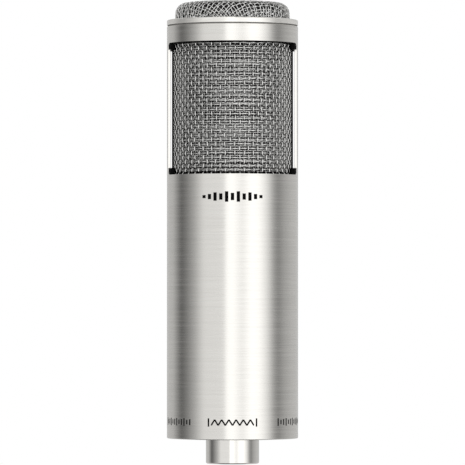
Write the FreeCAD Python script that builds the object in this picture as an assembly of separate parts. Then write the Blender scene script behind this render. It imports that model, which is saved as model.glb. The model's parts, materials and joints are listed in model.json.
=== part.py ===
import FreeCAD, Part

import math
import os

# Side-address ribbon microphone, upright. Millimetres, +Z up, the front faces -Y.
# The origin is the centre of the connector barrel's lower rim.

# --- Body tube and its two windows
TUBE_R = 25.4
TUBE_WALL = 0.8
TUBE_BOTTOM = 9.8
TUBE_TOP = 169.2
WINDOW_BOTTOM = 111.6
WINDOW_TOP = 162.5
WINDOW_CORNER_R = 2.8
POST_HALF_WIDTH = 5.2
TUBE_EDGE_CHAMFER = 0.25

# --- Connector barrel, its nut and its insert
BARREL_R = 10.3
BARREL_BORE_R = 8.2
BARREL_NECK_R = 9.4
BARREL_TOP = 20.0
BARREL_RIM = 0.4
KEY_HALF_WIDTH = 1.0
KEY_HEIGHT = 0.8
KEY_BOTTOM = 5.5
LATCH_HALF_WIDTH = 2.0
LATCH_HEIGHTS = (2.2, 4.4)
PIN_R = 1.19
PIN_CIRCLE_R = 3.81
PIN_TIP_Z = 2.0
PIN_TIP_R = 0.55
PIN_TIP_LENGTH = 1.0
PIN_SHANK_R = 1.5  # the stretch held in the insert
PIN_SHOULDER = 1.0  # how far that stretch stands out behind the insert
PIN_TAIL_R = 0.6
PIN_TAIL_TOP = 27.6
INSERT_BOTTOM = 14.0
INSERT_TOP = 21.0
INSERT_PLAY = 0.05
INSERT_RECESS = 1.5
INSERT_RIM = 1.4
INSERT_SCREW_R = 0.88
INSERT_SCREW_LENGTH = 3.0
NUT_R = 13.5
NUT_HEIGHT = 3.0
NUT_SLOT_HALF_WIDTH = 1.2
NUT_SLOT_DEPTH = 1.8

# --- Chassis: plates and standoffs
FIT = 0.1  # radial play of what slides into the tube
PLATE_R = TUBE_R - TUBE_WALL - FIT
BASE_THICKNESS = 6.0
SHELF_BOTTOM = 34.0
SHELF_THICKNESS = 2.0
SHELF_R = 23.9
DECK_BOTTOM = 96.0
DECK_THICKNESS = 4.0
STANDOFF_CIRCLE_R = 20.6
STANDOFF_ANGLES = (30.0, 150.0, 270.0)
STANDOFF_FLATS = 5.5
STUD_R = 1.5
STUD_DEPTH = 6.0
STUD_SPARE = 1.0  # hole left past the end of a stud
SET_SCREW_R = 1.5
SET_SCREW_ANGLES = (0.0, 90.0, 180.0)
SET_SCREW_SUNK = 0.15
SET_SCREW_LENGTH = 4.75
SET_SCREW_SOCKET = 1.5
SET_SCREW_SOCKET_DEPTH = 1.65
SET_SCREW_HOLE_SPARE = 0.3

# --- Screw heads
SCREW_PLAY = 0.02  # radial play of a screw in its hole
COUNTERSINK_R = 3.0
COUNTERSINK_DEPTH = 1.7
CROSS_HALF_WIDTH = 0.3
CROSS_HALF_LENGTH = 2.2
CROSS_DEPTH = 0.6
SLOT_HALF_WIDTH = 0.2
SLOT_DEPTH = 0.4

# --- Output transformer under its screening can
CAN_R = 17.0
CAN_WALL = 0.8
CAN_HEIGHT = 30.0
CORE_R = 12.8
CORE_BORE_R = 7.4
WINDING_R = 15.2
WINDING_EDGE_R = 1.6
WINDING_BORE_R = 4.8
WINDING_BOTTOM = 38.0
WINDING_TOP = 60.0
WINDING_DEPTH = 2.2
TRANSFORMER_BOLT_R = 2.0
BOLT_PLAY = 0.1
BOLT_FLATS = 7.0
BOLT_HEAD = 2.4
BOLT_NUT = 3.2
BOLT_END = 1.3  # how far the bolt stands out of its nut
SPACER_R = 4.0
PAD_R = 9.5
PAD_HEIGHT = 1.5

# --- Grille basket and the collars that hold it
GRILLE_R = 22.95
GRILLE_WALL = 0.55
LINING_R = 22.2
LINING_WALL = 0.4
SILK_R = 20.9
SILK_WALL = 0.25
SILK_TOP = 170.4
COLLAR_R = TUBE_R - TUBE_WALL - 0.05
COLLAR_BORE_R = 23.05
COLLAR_INNER_BORE_R = 21.0
COLLAR_INNER_R = 21.75
COLLAR_FLANGE = 1.0
COLLAR_GAP = 0.2  # the lower outer ring stops this far behind the windows' edge
COLLAR_LIP = 0.35  # the upper outer ring shows this far past the windows' edge
COLLAR_SHOW = 0.9  # the inner rings reach this far past the windows' edges
COLLAR_TAB_HALF_WIDTH = 6.4
LOWER_TAB_TOP = 114.2
UPPER_TAB_BOTTOM = 160.0
CORNER_FILL_R = 25.3
CORNER_FILL_HALF_WIDTH = 8.0
CORNER_FILL_PLAY = 0.05
UPPER_COLLAR_TOP = 166.2
EDGE_STRIP_R = 23.45
EDGE_STRIP_HALF_WIDTH = 3.0
EDGE_STRIP_PLAY = 0.05

# --- Top ring and dome
SEAM = 0.4
RING_TOP = 171.6
RING_BORE_R = 22.75
RING_SKIRT_WALL = 0.6
RING_EDGE_R = 0.35
GASKET_INSET = 0.3
GASKET_PLAY = 0.02
DOME_BASE_R = 22.5
DOME_FOOT = 168.2
DOME_WALL_TOP = (22.15, 174.7)
DOME_SHOULDER = (20.9, 177.2)
DOME_CROWN_EDGE = (18.0, 178.4)
DOME_TOP = 178.95
DOME_WALL = 0.55
DOME_FLANGE_R = 23.8
DOME_LINING_INSET = 0.9
RETAINER_BORE_R = 20.95
RETAINER_PLAY = 0.05

# --- Ribbon motor: the magnets stand either side of the ribbon
YOKE_HALF_WIDTH = 14.0
YOKE_SIDE = 3.0
YOKE_BAR = 4.0
YOKE_HALF_DEPTH = 6.0
MAGNET_THICKNESS = 4.5
MAGNET_HALF_DEPTH = 4.5
MAGNET_HALF_LENGTH = 23.2
GAP_HALF_WIDTH = 2.7
POLE_TIP_HALF_DEPTH = 1.5
CLAMP_HEIGHT = 4.6
CLAMP_BLOCK_DEPTH = 4.0
CLAMP_HALF_WIDTH = 5.6
CLAMP_PLATE = 1.5
CLAMP_PLATE_MARGIN = 0.3
CLAMP_EAR = 9.6
CLAMP_EAR_MARGIN = 1.4
CLAMP_SCREW_X = 3.9
CLAMP_SCREW_R = 0.8
CLAMP_SCREW_LENGTH = 4.2
CLAMP_HEAD_R = 1.5
CLAMP_HEAD = 1.0
FOOT_THICKNESS = 2.5
FOOT_HALF_WIDTH = 19.4
FOOT_EAR_HALF_DEPTH = 3.6
BUSHING_X = 16.8
BUSHING_R = 2.6
BUSHING_HEIGHT = 2.0
BUSHING_SCREW_R = 1.0
BUSHING_HEAD_R = 2.0
BUSHING_HEAD = 1.4
YOKE_SCREW_X = 8.0
YOKE_SCREW_END = 0.8  # metal left over a yoke screw's tip
BLOCK_SCREW_Y = 2.0
BLOCK_SCREW_DEPTH = 1.4
BLOCK_HEAD_R = 1.5
BLOCK_HEAD = 1.0

# --- Ribbon
RIBBON_HALF_WIDTH = 2.35
RIBBON_THICKNESS = 0.1
RIBBON_FOLD_DEPTH = 0.5
RIBBON_FOLDS = 40
RIBBON_END_GAP = 0.3
TAB_LENGTH = 4.2

# --- Leads
LEAD_R = 0.45
LEAD_X = 9.0
LEAD_Y = -9.0
LEAD_HOLE_R = 1.5
LEAD_DROP = 6.5  # height over which a lead turns down from its clamp
LEAD_LEAN = 0.6  # how much nearer the motor a lead is at the top of its drop
GROMMET_R = 2.4
GROMMET_LIP_R = 3.4
GROMMET_LIP = 0.8
GROMMET_BORE_R = 1.0
OUTPUT_LEAD_R = 0.55
OUTPUT_LEAD_Y = 10.5
OUTPUT_LEAD_SPACING = 4.0
OUTPUT_LEAD_HOLE_R = 1.1
BOARD_BOTTOM = 25.0
BOARD_THICKNESS = 1.6
BOARD_R = 15.0

UP = FreeCAD.Vector(0, 0, 1)
ORIGIN = FreeCAD.Vector(0, 0, 0)

BASE_TOP = TUBE_BOTTOM + BASE_THICKNESS
SHELF_TOP = SHELF_BOTTOM + SHELF_THICKNESS
DECK_TOP = DECK_BOTTOM + DECK_THICKNESS
CAN_TOP = SHELF_TOP + CAN_HEIGHT
MOTOR_CENTRE_Z = (WINDOW_BOTTOM + WINDOW_TOP) / 2
FOOT_BOTTOM = DECK_TOP + BUSHING_HEIGHT
YOKE_BOTTOM = FOOT_BOTTOM + FOOT_THICKNESS
YOKE_TOP = 2 * MOTOR_CENTRE_Z - YOKE_BOTTOM
APERTURE_BOTTOM = YOKE_BOTTOM + YOKE_BAR
APERTURE_TOP = YOKE_TOP - YOKE_BAR
MAGNET_INNER_X = YOKE_HALF_WIDTH - YOKE_SIDE - MAGNET_THICKNESS
BOARD_TOP = BOARD_BOTTOM + BOARD_THICKNESS
UPPER_FLANGE_BOTTOM = UPPER_COLLAR_TOP - COLLAR_FLANGE
DOME_FLANGE_TOP = DOME_FOOT + DOME_WALL
SET_SCREW_Z = TUBE_BOTTOM + BASE_THICKNESS / 2
CAN_NUT_TOP = CAN_TOP + BOLT_NUT
PAST = 1.0  # how far a cutting shape runs past what it cuts


def vec(x, y, z):
    return FreeCAD.Vector(x, y, z)


def polar(radius, degrees):
    """The X and Y of a point on a circle round the Z axis."""
    angle = math.radians(degrees)
    return radius * math.cos(angle), radius * math.sin(angle)


def box(x_range, y_range, z_range):
    sizes = [high - low for low, high in (x_range, y_range, z_range)]
    return Part.makeBox(*sizes, vec(x_range[0], y_range[0], z_range[0]))


def rod(x, y, bottom, top, radius):
    """An upright cylinder."""
    return Part.makeCylinder(radius, top - bottom, vec(x, y, bottom), UP)


def tube(outer, inner, bottom, top):
    """An upright tube on the Z axis."""
    return rod(0, 0, bottom, top, outer).cut(rod(0, 0, bottom - PAST, top + PAST, inner))


def hex_rod(x, y, bottom, top, flats):
    """An upright hexagonal bar."""
    corner = flats / math.sqrt(3)
    points = []
    for step in range(7):
        dx, dy = polar(corner, 60 * step)
        points.append(vec(x + dx, y + dy, bottom))
    return Part.Face(Part.makePolygon(points)).extrude(vec(0, 0, top - bottom))


def cone(x, y, bottom, top, bottom_r, top_r):
    return Part.makeCone(bottom_r, top_r, top - bottom, vec(x, y, bottom), UP)


def turned(points):
    """A solid turned about Z from a closed outline of (radius, height) points."""
    outline = [vec(r, 0, z) for r, z in points]
    face = Part.Face(Part.makePolygon(outline + [outline[0]]))
    return face.revolve(ORIGIN, UP, 360)


def turned_edges(edges):
    """A solid turned about Z from the closed loop of edges in the XZ plane."""
    return Part.Face(Part.Wire(edges)).revolve(ORIGIN, UP, 360)


def line(start, end):
    """A straight edge between two (radius, height) points."""
    return Part.LineSegment(vec(start[0], 0, start[1]), vec(end[0], 0, end[1])).toShape()


def arc(start, middle, end):
    """A round edge through three (radius, height) points."""
    points = [vec(r, 0, z) for r, z in (start, middle, end)]
    return Part.Arc(*points).toShape()


def round_wire(points, radius):
    """A round wire along straight runs, with each corner a tangent arc as large as its runs allow."""
    share = 0.45
    edges = []
    start = points[0]
    for before, corner, after in zip(points, points[1:], points[2:]):
        run_in = corner - before
        run_out = after - corner
        reach = share * min(run_in.Length, run_out.Length)
        half_turn = run_in.getAngle(run_out) / 2
        bend_r = reach / math.tan(half_turn)
        turn_in = corner - run_in * (reach / run_in.Length)
        turn_out = corner + run_out * (reach / run_out.Length)
        inwards = (turn_in + turn_out) * 0.5 - corner
        centre = corner + inwards * (bend_r / math.cos(half_turn) / inwards.Length)
        outwards = corner - centre
        middle = centre + outwards * (bend_r / outwards.Length)
        edges.append(Part.LineSegment(start, turn_in).toShape())
        edges.append(Part.Arc(turn_in, middle, turn_out).toShape())
        start = turn_out
    edges.append(Part.LineSegment(start, points[-1]).toShape())
    path = Part.Wire(edges)
    section = Part.Wire(Part.makeCircle(radius, points[0], points[1] - points[0]))
    return path.makePipeShell([section], True, False)


def countersunk_screw(x, y, head_z, tip_z, shank_r):
    """A flat-headed screw whose head is flush at head_z and whose shank ends at tip_z."""
    down = 1 if tip_z > head_z else -1
    neck_z = head_z + down * COUNTERSINK_DEPTH
    if down > 0:
        head = cone(x, y, head_z, neck_z, COUNTERSINK_R, shank_r)
        shank = rod(x, y, neck_z, tip_z, shank_r)
        slot_z = (head_z - PAST, head_z + CROSS_DEPTH)
    else:
        head = cone(x, y, neck_z, head_z, shank_r, COUNTERSINK_R)
        shank = rod(x, y, tip_z, neck_z, shank_r)
        slot_z = (head_z - CROSS_DEPTH, head_z + PAST)
    long_x = (x - CROSS_HALF_LENGTH, x + CROSS_HALF_LENGTH)
    long_y = (y - CROSS_HALF_LENGTH, y + CROSS_HALF_LENGTH)
    short_x = (x - CROSS_HALF_WIDTH, x + CROSS_HALF_WIDTH)
    short_y = (y - CROSS_HALF_WIDTH, y + CROSS_HALF_WIDTH)
    screw = head.fuse(shank).removeSplitter()
    return screw.cut(box(long_x, short_y, slot_z)).cut(box(short_x, long_y, slot_z))


def countersunk_hole(x, y, head_z, tip_z, shank_r):
    """What countersunk_screw needs cut away, with a little play round the shank."""
    down = 1 if tip_z > head_z else -1
    neck_z = head_z + down * COUNTERSINK_DEPTH
    low, high = sorted((head_z, tip_z))
    shank = rod(x, y, low, high, shank_r + SCREW_PLAY)
    if down > 0:
        return shank.fuse(cone(x, y, head_z, neck_z, COUNTERSINK_R, shank_r))
    return shank.fuse(cone(x, y, neck_z, head_z, shank_r, COUNTERSINK_R))


def standoff_places():
    return [polar(STANDOFF_CIRCLE_R, angle) for angle in STANDOFF_ANGLES]


def radial_rod(degrees, z, inner, outer, radius):
    """A cylinder that points out from the Z axis."""
    dx, dy = polar(1, degrees)
    start = vec(dx * inner, dy * inner, z)
    return Part.makeCylinder(radius, outer - inner, start, vec(dx, dy, 0))


# ---------------------------------------------------------------- shell


def window(side, play=0.0):
    """What one window takes away: a block with round corners, square to the side posts."""
    reach = TUBE_R + PAST
    post = POST_HALF_WIDTH + play
    y_range = sorted((side * post, side * reach))
    block = box((-reach, reach), y_range, (WINDOW_BOTTOM + play, WINDOW_TOP - play))
    corners = []
    for edge in block.Edges:
        ends = [v.Point for v in edge.Vertexes]
        along_x = abs((ends[1] - ends[0]).x) > reach
        if along_x and abs(abs(ends[0].y) - post) < play + 0.01:
            corners.append(edge)
    return block.makeFillet(WINDOW_CORNER_R - play, corners)


def body_tube():
    inner = TUBE_R - TUBE_WALL
    shell = turned(
        [
            (inner, TUBE_BOTTOM),
            (TUBE_R - TUBE_EDGE_CHAMFER, TUBE_BOTTOM),
            (TUBE_R, TUBE_BOTTOM + TUBE_EDGE_CHAMFER),
            (TUBE_R, TUBE_TOP - TUBE_EDGE_CHAMFER),
            (TUBE_R - TUBE_EDGE_CHAMFER, TUBE_TOP),
            (inner, TUBE_TOP),
        ]
    )
    for side in (-1, 1):
        shell = shell.cut(window(side))
    for angle in SET_SCREW_ANGLES:
        hole_r = SET_SCREW_R + SCREW_PLAY
        hole = radial_rod(angle, SET_SCREW_Z, inner - PAST, TUBE_R + PAST, hole_r)
        shell = shell.cut(hole)
    return shell


def set_screws():
    """Grub screws that lock the tube to the base plate, each with a hexagon socket."""
    screws = []
    face = TUBE_R - SET_SCREW_SUNK
    for angle in SET_SCREW_ANGLES:
        body = radial_rod(angle, SET_SCREW_Z, face - SET_SCREW_LENGTH, face, SET_SCREW_R)
        socket = hex_rod(0, 0, face - SET_SCREW_SOCKET_DEPTH, face + PAST, SET_SCREW_SOCKET)
        socket.rotate(ORIGIN, vec(0, 1, 0), 90)
        socket.translate(vec(0, 0, SET_SCREW_Z))
        socket.rotate(ORIGIN, UP, angle)
        screws.append(body.cut(socket))
    return screws


def base_plate():
    plate = turned(
        [
            (BARREL_NECK_R + SCREW_PLAY, TUBE_BOTTOM),
            (PLATE_R, TUBE_BOTTOM),
            (PLATE_R, BASE_TOP),
            (BARREL_NECK_R + SCREW_PLAY, BASE_TOP),
        ]
    )
    for x, y in standoff_places():
        plate = plate.cut(countersunk_hole(x, y, TUBE_BOTTOM, BASE_TOP + PAST, STUD_R))
    hole_end = TUBE_R - SET_SCREW_SUNK - SET_SCREW_LENGTH - SET_SCREW_HOLE_SPARE
    for angle in SET_SCREW_ANGLES:
        hole_r = SET_SCREW_R + SCREW_PLAY
        plate = plate.cut(radial_rod(angle, SET_SCREW_Z, hole_end, TUBE_R, hole_r))
    return plate


def connector_barrel():
    """Round barrel with a shouldered neck, a plug key along its bore and a latch window behind."""
    rim = BARREL_RIM
    barrel = turned(
        [
            (BARREL_BORE_R + rim, 0),
            (BARREL_R - rim, 0),
            (BARREL_R, rim),
            (BARREL_R, TUBE_BOTTOM),
            (BARREL_NECK_R, TUBE_BOTTOM),
            (BARREL_NECK_R, BARREL_TOP),
            (BARREL_BORE_R, BARREL_TOP),
            (BARREL_BORE_R, rim),
        ]
    )
    middle_r = (BARREL_BORE_R + BARREL_NECK_R) / 2
    key = box(
        (-KEY_HALF_WIDTH, KEY_HALF_WIDTH),
        (BARREL_BORE_R - KEY_HEIGHT, middle_r),
        (KEY_BOTTOM, INSERT_BOTTOM),
    )
    latch = box(
        (-LATCH_HALF_WIDTH, LATCH_HALF_WIDTH),
        (BARREL_BORE_R - PAST, BARREL_R + PAST),
        LATCH_HEIGHTS,
    )
    return barrel.fuse(key).cut(latch)


def barrel_nut():
    top = BASE_TOP + NUT_HEIGHT
    nut = tube(NUT_R, BARREL_NECK_R + SCREW_PLAY, BASE_TOP, top)
    slot = box(
        (-NUT_SLOT_HALF_WIDTH, NUT_SLOT_HALF_WIDTH),
        (-NUT_R - PAST, NUT_R + PAST),
        (top - NUT_SLOT_DEPTH, top + PAST),
    )
    return nut.cut(slot)


def pin_places():
    return [polar(PIN_CIRCLE_R, angle) for angle in (180.0, 0.0, 270.0)]


def connector_insert():
    low = INSERT_BOTTOM - PAST
    high = INSERT_TOP + PAST
    insert = rod(0, 0, INSERT_BOTTOM, INSERT_TOP, BARREL_BORE_R - INSERT_PLAY)
    recess = rod(0, 0, INSERT_TOP - INSERT_RECESS, high, BARREL_BORE_R - INSERT_RIM)
    insert = insert.cut(recess)
    for x, y in pin_places():
        insert = insert.cut(rod(x, y, low, high, PIN_SHANK_R))
    lock_top = INSERT_BOTTOM + INSERT_SCREW_LENGTH
    return insert.cut(rod(0, PIN_CIRCLE_R, low, lock_top, INSERT_SCREW_R + SCREW_PLAY))


def connector_pin(number):
    x, y = pin_places()[number]
    shoulder = INSERT_TOP + PIN_SHOULDER
    tip = cone(x, y, PIN_TIP_Z, PIN_TIP_Z + PIN_TIP_LENGTH, PIN_TIP_R, PIN_R)
    contact = rod(x, y, PIN_TIP_Z + PIN_TIP_LENGTH, INSERT_BOTTOM, PIN_R)
    shank = rod(x, y, INSERT_BOTTOM, shoulder, PIN_SHANK_R)
    tail = rod(x, y, shoulder, PIN_TAIL_TOP, PIN_TAIL_R)
    return tip.fuse([contact, shank, tail]).removeSplitter()


def insert_screw():
    face = INSERT_BOTTOM + INSERT_PLAY
    screw = rod(0, PIN_CIRCLE_R, face, INSERT_BOTTOM + INSERT_SCREW_LENGTH, INSERT_SCREW_R)
    slot = box(
        (-PAST, PAST),
        (PIN_CIRCLE_R - SLOT_HALF_WIDTH, PIN_CIRCLE_R + SLOT_HALF_WIDTH),
        (face - PAST, face + SLOT_DEPTH),
    )
    return screw.cut(slot)


# ---------------------------------------------------------------- chassis


def base_screws():
    tip = BASE_TOP + STUD_DEPTH - STUD_SPARE
    return [countersunk_screw(x, y, TUBE_BOTTOM, tip, STUD_R) for x, y in standoff_places()]


def lower_standoffs():
    bars = []
    hole_r = STUD_R + SCREW_PLAY
    for x, y in standoff_places():
        bar = hex_rod(x, y, BASE_TOP, SHELF_BOTTOM, STANDOFF_FLATS)
        bar = bar.cut(rod(x, y, BASE_TOP - PAST, BASE_TOP + STUD_DEPTH, hole_r))
        bar = bar.cut(rod(x, y, SHELF_BOTTOM - STUD_DEPTH, SHELF_BOTTOM + PAST, hole_r))
        bars.append(bar)
    return bars


def upper_standoffs():
    """Long hexagonal bars, each with a stud that passes through the shelf."""
    bars = []
    for x, y in standoff_places():
        bar = hex_rod(x, y, SHELF_TOP, DECK_BOTTOM, STANDOFF_FLATS)
        hole_r = STUD_R + SCREW_PLAY
        bar = bar.cut(rod(x, y, DECK_BOTTOM - STUD_DEPTH, DECK_BOTTOM + PAST, hole_r))
        stud = rod(x, y, SHELF_BOTTOM - STUD_DEPTH + STUD_SPARE, SHELF_TOP, STUD_R)
        bars.append(bar.fuse(stud).removeSplitter())
    return bars


def transformer_shelf():
    low = SHELF_BOTTOM - PAST
    high = SHELF_TOP + PAST
    shelf = rod(0, 0, SHELF_BOTTOM, SHELF_TOP, SHELF_R)
    for x, y in standoff_places():
        shelf = shelf.cut(rod(x, y, low, high, STUD_R + SCREW_PLAY))
    shelf = shelf.cut(rod(0, 0, low, high, TRANSFORMER_BOLT_R + SCREW_PLAY))
    for x in output_lead_places():
        shelf = shelf.cut(rod(x, OUTPUT_LEAD_Y, low, high, OUTPUT_LEAD_HOLE_R))
    return shelf


def motor_deck():
    low = DECK_BOTTOM - PAST
    high = DECK_TOP + PAST
    deck = rod(0, 0, DECK_BOTTOM, DECK_TOP, PLATE_R)
    for x, y in standoff_places():
        deck = deck.cut(countersunk_hole(x, y, DECK_TOP, low, STUD_R))
    for side in (-1, 1):
        deck = deck.cut(rod(side * BUSHING_X, 0, low, high, BUSHING_SCREW_R + SCREW_PLAY))
        deck = deck.cut(rod(side * LEAD_X, LEAD_Y, low, high, GROMMET_R))
    return deck


def deck_screws():
    tip = DECK_BOTTOM - STUD_DEPTH + STUD_SPARE
    return [countersunk_screw(x, y, DECK_TOP, tip, STUD_R) for x, y in standoff_places()]


def lead_grommets():
    """Rubber eyelets that line the deck's two lead holes."""
    grommets = []
    low = DECK_BOTTOM - GROMMET_LIP
    high = DECK_TOP + GROMMET_LIP
    for side in (-1, 1):
        x = side * LEAD_X
        sleeve = rod(x, LEAD_Y, DECK_BOTTOM, DECK_TOP, GROMMET_R)
        upper_lip = rod(x, LEAD_Y, DECK_TOP, high, GROMMET_LIP_R)
        lower_lip = rod(x, LEAD_Y, low, DECK_BOTTOM, GROMMET_LIP_R)
        bore = rod(x, LEAD_Y, low - PAST, high + PAST, GROMMET_BORE_R)
        grommets.append(sleeve.fuse([upper_lip, lower_lip]).removeSplitter().cut(bore))
    return grommets


def terminal_board():
    low = BOARD_BOTTOM - PAST
    high = BOARD_TOP + PAST
    board = rod(0, 0, BOARD_BOTTOM, BOARD_TOP, BOARD_R)
    for x, y in pin_places():
        board = board.cut(rod(x, y, low, high, PIN_TAIL_R + SCREW_PLAY))
    for x in output_lead_places():
        board = board.cut(rod(x, OUTPUT_LEAD_Y, low, high, OUTPUT_LEAD_R + SCREW_PLAY))
    return board


# ---------------------------------------------------------------- transformer


def transformer_can():
    lid_bottom = CAN_TOP - CAN_WALL
    low = lid_bottom - PAST
    high = CAN_TOP + PAST
    can = rod(0, 0, SHELF_TOP, CAN_TOP, CAN_R)
    can = can.cut(rod(0, 0, SHELF_TOP - PAST, lid_bottom, CAN_R - CAN_WALL))
    can = can.cut(rod(0, 0, low, high, TRANSFORMER_BOLT_R + SCREW_PLAY))
    for side in (-1, 1):
        can = can.cut(rod(side * LEAD_X, LEAD_Y, low, high, LEAD_HOLE_R))
    return can


def transformer_core():
    low = WINDING_BOTTOM + WINDING_DEPTH
    high = WINDING_TOP - WINDING_DEPTH
    return tube(CORE_R, CORE_BORE_R, low, high)


def transformer_winding():
    """Copper wound right round the ring core."""
    coil = tube(WINDING_R, WINDING_BORE_R, WINDING_BOTTOM, WINDING_TOP)
    between_r = (WINDING_R + WINDING_BORE_R) / 2
    outer = [e for e in coil.Edges if e.BoundBox.XMax > between_r and e.Closed]
    coil = coil.makeFillet(WINDING_EDGE_R, outer)
    return coil.cut(transformer_core())


def transformer_pads():
    """Rubber washers under and over the winding."""
    bore = TRANSFORMER_BOLT_R + BOLT_PLAY
    lower = tube(PAD_R, bore, SHELF_TOP, WINDING_BOTTOM)
    upper = tube(PAD_R, bore, WINDING_TOP, WINDING_TOP + PAD_HEIGHT)
    return [lower, upper]


def transformer_bolt():
    """A bolt up through the shelf, ring core and can."""
    head = hex_rod(0, 0, SHELF_BOTTOM - BOLT_HEAD, SHELF_BOTTOM, BOLT_FLATS)
    shank = rod(0, 0, SHELF_BOTTOM, CAN_NUT_TOP + BOLT_END, TRANSFORMER_BOLT_R)
    return head.fuse(shank).removeSplitter()


def transformer_spacer():
    """Sleeve on the bolt that carries the can's lid."""
    bottom = WINDING_TOP + PAD_HEIGHT
    return tube(SPACER_R, TRANSFORMER_BOLT_R + BOLT_PLAY, bottom, CAN_TOP - CAN_WALL)


def transformer_nut():
    nut = hex_rod(0, 0, CAN_TOP, CAN_NUT_TOP, BOLT_FLATS)
    hole = rod(0, 0, CAN_TOP - PAST, CAN_NUT_TOP + PAST, TRANSFORMER_BOLT_R + SCREW_PLAY)
    return nut.cut(hole)


# ---------------------------------------------------------------- grille


def side_tabs(bottom, top):
    """The parts of a collar that show at each side of the windows."""
    ring = tube(COLLAR_R, COLLAR_BORE_R, bottom, top)
    sides = box(
        (-TUBE_R, TUBE_R), (-COLLAR_TAB_HALF_WIDTH, COLLAR_TAB_HALF_WIDTH), (bottom, top)
    )
    return ring.common(sides)


def corner_fills(bottom, top):
    """The parts of a collar that stand out through the tube and fill the windows' corners."""
    ring = tube(CORNER_FILL_R, COLLAR_R - PAST / 2, bottom, top)
    fills = []
    for side in (-1, 1):
        y_range = sorted((0, side * CORNER_FILL_HALF_WIDTH))
        near_post = box((-TUBE_R, TUBE_R), y_range, (bottom, top))
        fills.append(ring.common(near_post).common(window(side, CORNER_FILL_PLAY)))
    return fills


def lower_collar():
    """Channel that takes the grille's lower end, with a tab up each side."""
    flange_top = DECK_TOP + COLLAR_FLANGE
    outer = tube(COLLAR_R, COLLAR_BORE_R, DECK_TOP, WINDOW_BOTTOM - COLLAR_GAP)
    inner = tube(COLLAR_INNER_R, COLLAR_INNER_BORE_R, DECK_TOP, WINDOW_BOTTOM + COLLAR_SHOW)
    flange = tube(COLLAR_R, COLLAR_INNER_BORE_R, DECK_TOP, flange_top)
    tabs = side_tabs(flange_top, LOWER_TAB_TOP)
    fills = corner_fills(WINDOW_BOTTOM, LOWER_TAB_TOP)
    return outer.fuse([inner, flange, tabs, *fills]).removeSplitter()


def upper_collar():
    """Channel that takes the grille's upper end, with a tab down each side."""
    top = UPPER_COLLAR_TOP
    outer = tube(COLLAR_R, COLLAR_BORE_R, WINDOW_TOP - COLLAR_LIP, top)
    inner = tube(COLLAR_INNER_R, COLLAR_INNER_BORE_R, WINDOW_TOP - COLLAR_SHOW, top)
    flange = tube(COLLAR_R, COLLAR_INNER_BORE_R, UPPER_FLANGE_BOTTOM, top)
    tabs = side_tabs(UPPER_TAB_BOTTOM, UPPER_FLANGE_BOTTOM)
    fills = corner_fills(UPPER_TAB_BOTTOM, WINDOW_TOP)
    return outer.fuse([inner, flange, tabs, *fills]).removeSplitter()


def edge_strip(side):
    """Black strip up one side of the basket, from the lower collar's tab to the upper one's."""
    bottom = LOWER_TAB_TOP + EDGE_STRIP_PLAY
    top = UPPER_TAB_BOTTOM - EDGE_STRIP_PLAY
    x_range = sorted((0, side * TUBE_R))
    y_range = (-EDGE_STRIP_HALF_WIDTH, EDGE_STRIP_HALF_WIDTH)
    return tube(EDGE_STRIP_R, COLLAR_BORE_R, bottom, top).common(
        box(x_range, y_range, (bottom, top))
    )


def grille_mesh():
    bottom = DECK_TOP + COLLAR_FLANGE
    return tube(GRILLE_R, GRILLE_R - GRILLE_WALL, bottom, UPPER_FLANGE_BOTTOM)


def grille_lining():
    bottom = DECK_TOP + COLLAR_FLANGE
    return tube(LINING_R, LINING_R - LINING_WALL, bottom, UPPER_FLANGE_BOTTOM)


def silk_screen():
    """A cloth sock round the motor, closed over its top."""
    inner = SILK_R - SILK_WALL
    return turned(
        [
            (inner, DECK_TOP),
            (SILK_R, DECK_TOP),
            (SILK_R, SILK_TOP),
            (0, SILK_TOP),
            (0, SILK_TOP - SILK_WALL),
            (inner, SILK_TOP - SILK_WALL),
        ]
    )


def top_ring():
    """Bezel whose skirt screws into the tube and whose lip holds the dome down."""
    bottom = TUBE_TOP + SEAM
    skirt_r = COLLAR_R
    inner = skirt_r - RING_SKIRT_WALL
    edge = RING_EDGE_R
    bevel = edge * (1 - math.sqrt(0.5))
    corner_arc = arc(
        (TUBE_R, RING_TOP - edge), (TUBE_R - bevel, RING_TOP - bevel), (TUBE_R - edge, RING_TOP)
    )
    return turned_edges(
        [
            line((TUBE_R, bottom), (TUBE_R, RING_TOP - edge)),
            corner_arc,
            line((TUBE_R - edge, RING_TOP), (RING_BORE_R, RING_TOP)),
            line((RING_BORE_R, RING_TOP), (RING_BORE_R, DOME_FLANGE_TOP)),
            line((RING_BORE_R, DOME_FLANGE_TOP), (inner, DOME_FLANGE_TOP)),
            line((inner, DOME_FLANGE_TOP), (inner, UPPER_COLLAR_TOP)),
            line((inner, UPPER_COLLAR_TOP), (skirt_r, UPPER_COLLAR_TOP)),
            line((skirt_r, UPPER_COLLAR_TOP), (skirt_r, bottom)),
            line((skirt_r, bottom), (TUBE_R, bottom)),
        ]
    )


def seam_gasket():
    """Black ring in the seam between the tube and the top ring."""
    return tube(TUBE_R - GASKET_INSET, COLLAR_R + GASKET_PLAY, TUBE_TOP, TUBE_TOP + SEAM)


def dome_face(inset):
    """The named points, from foot to top, of one face of the dome, inset from its outer face."""

    def moved(point):
        return point[0] - inset, point[1] - inset

    crown_edge = moved(DOME_CROWN_EDGE)
    top = DOME_TOP - inset
    rise = top - crown_edge[1]
    crown_r = (crown_edge[0] ** 2 + rise ** 2) / (2 * rise)
    mid_r = crown_edge[0] / 2
    mid_z = top - crown_r + math.sqrt(crown_r ** 2 - mid_r ** 2)
    return {
        "foot": (DOME_BASE_R - inset, DOME_FOOT),
        "wall_top": (DOME_WALL_TOP[0] - inset, DOME_WALL_TOP[1]),
        "shoulder": moved(DOME_SHOULDER),
        "crown_edge": crown_edge,
        "crown_mid": (mid_r, mid_z),
        "top": (0, top),
    }


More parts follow.
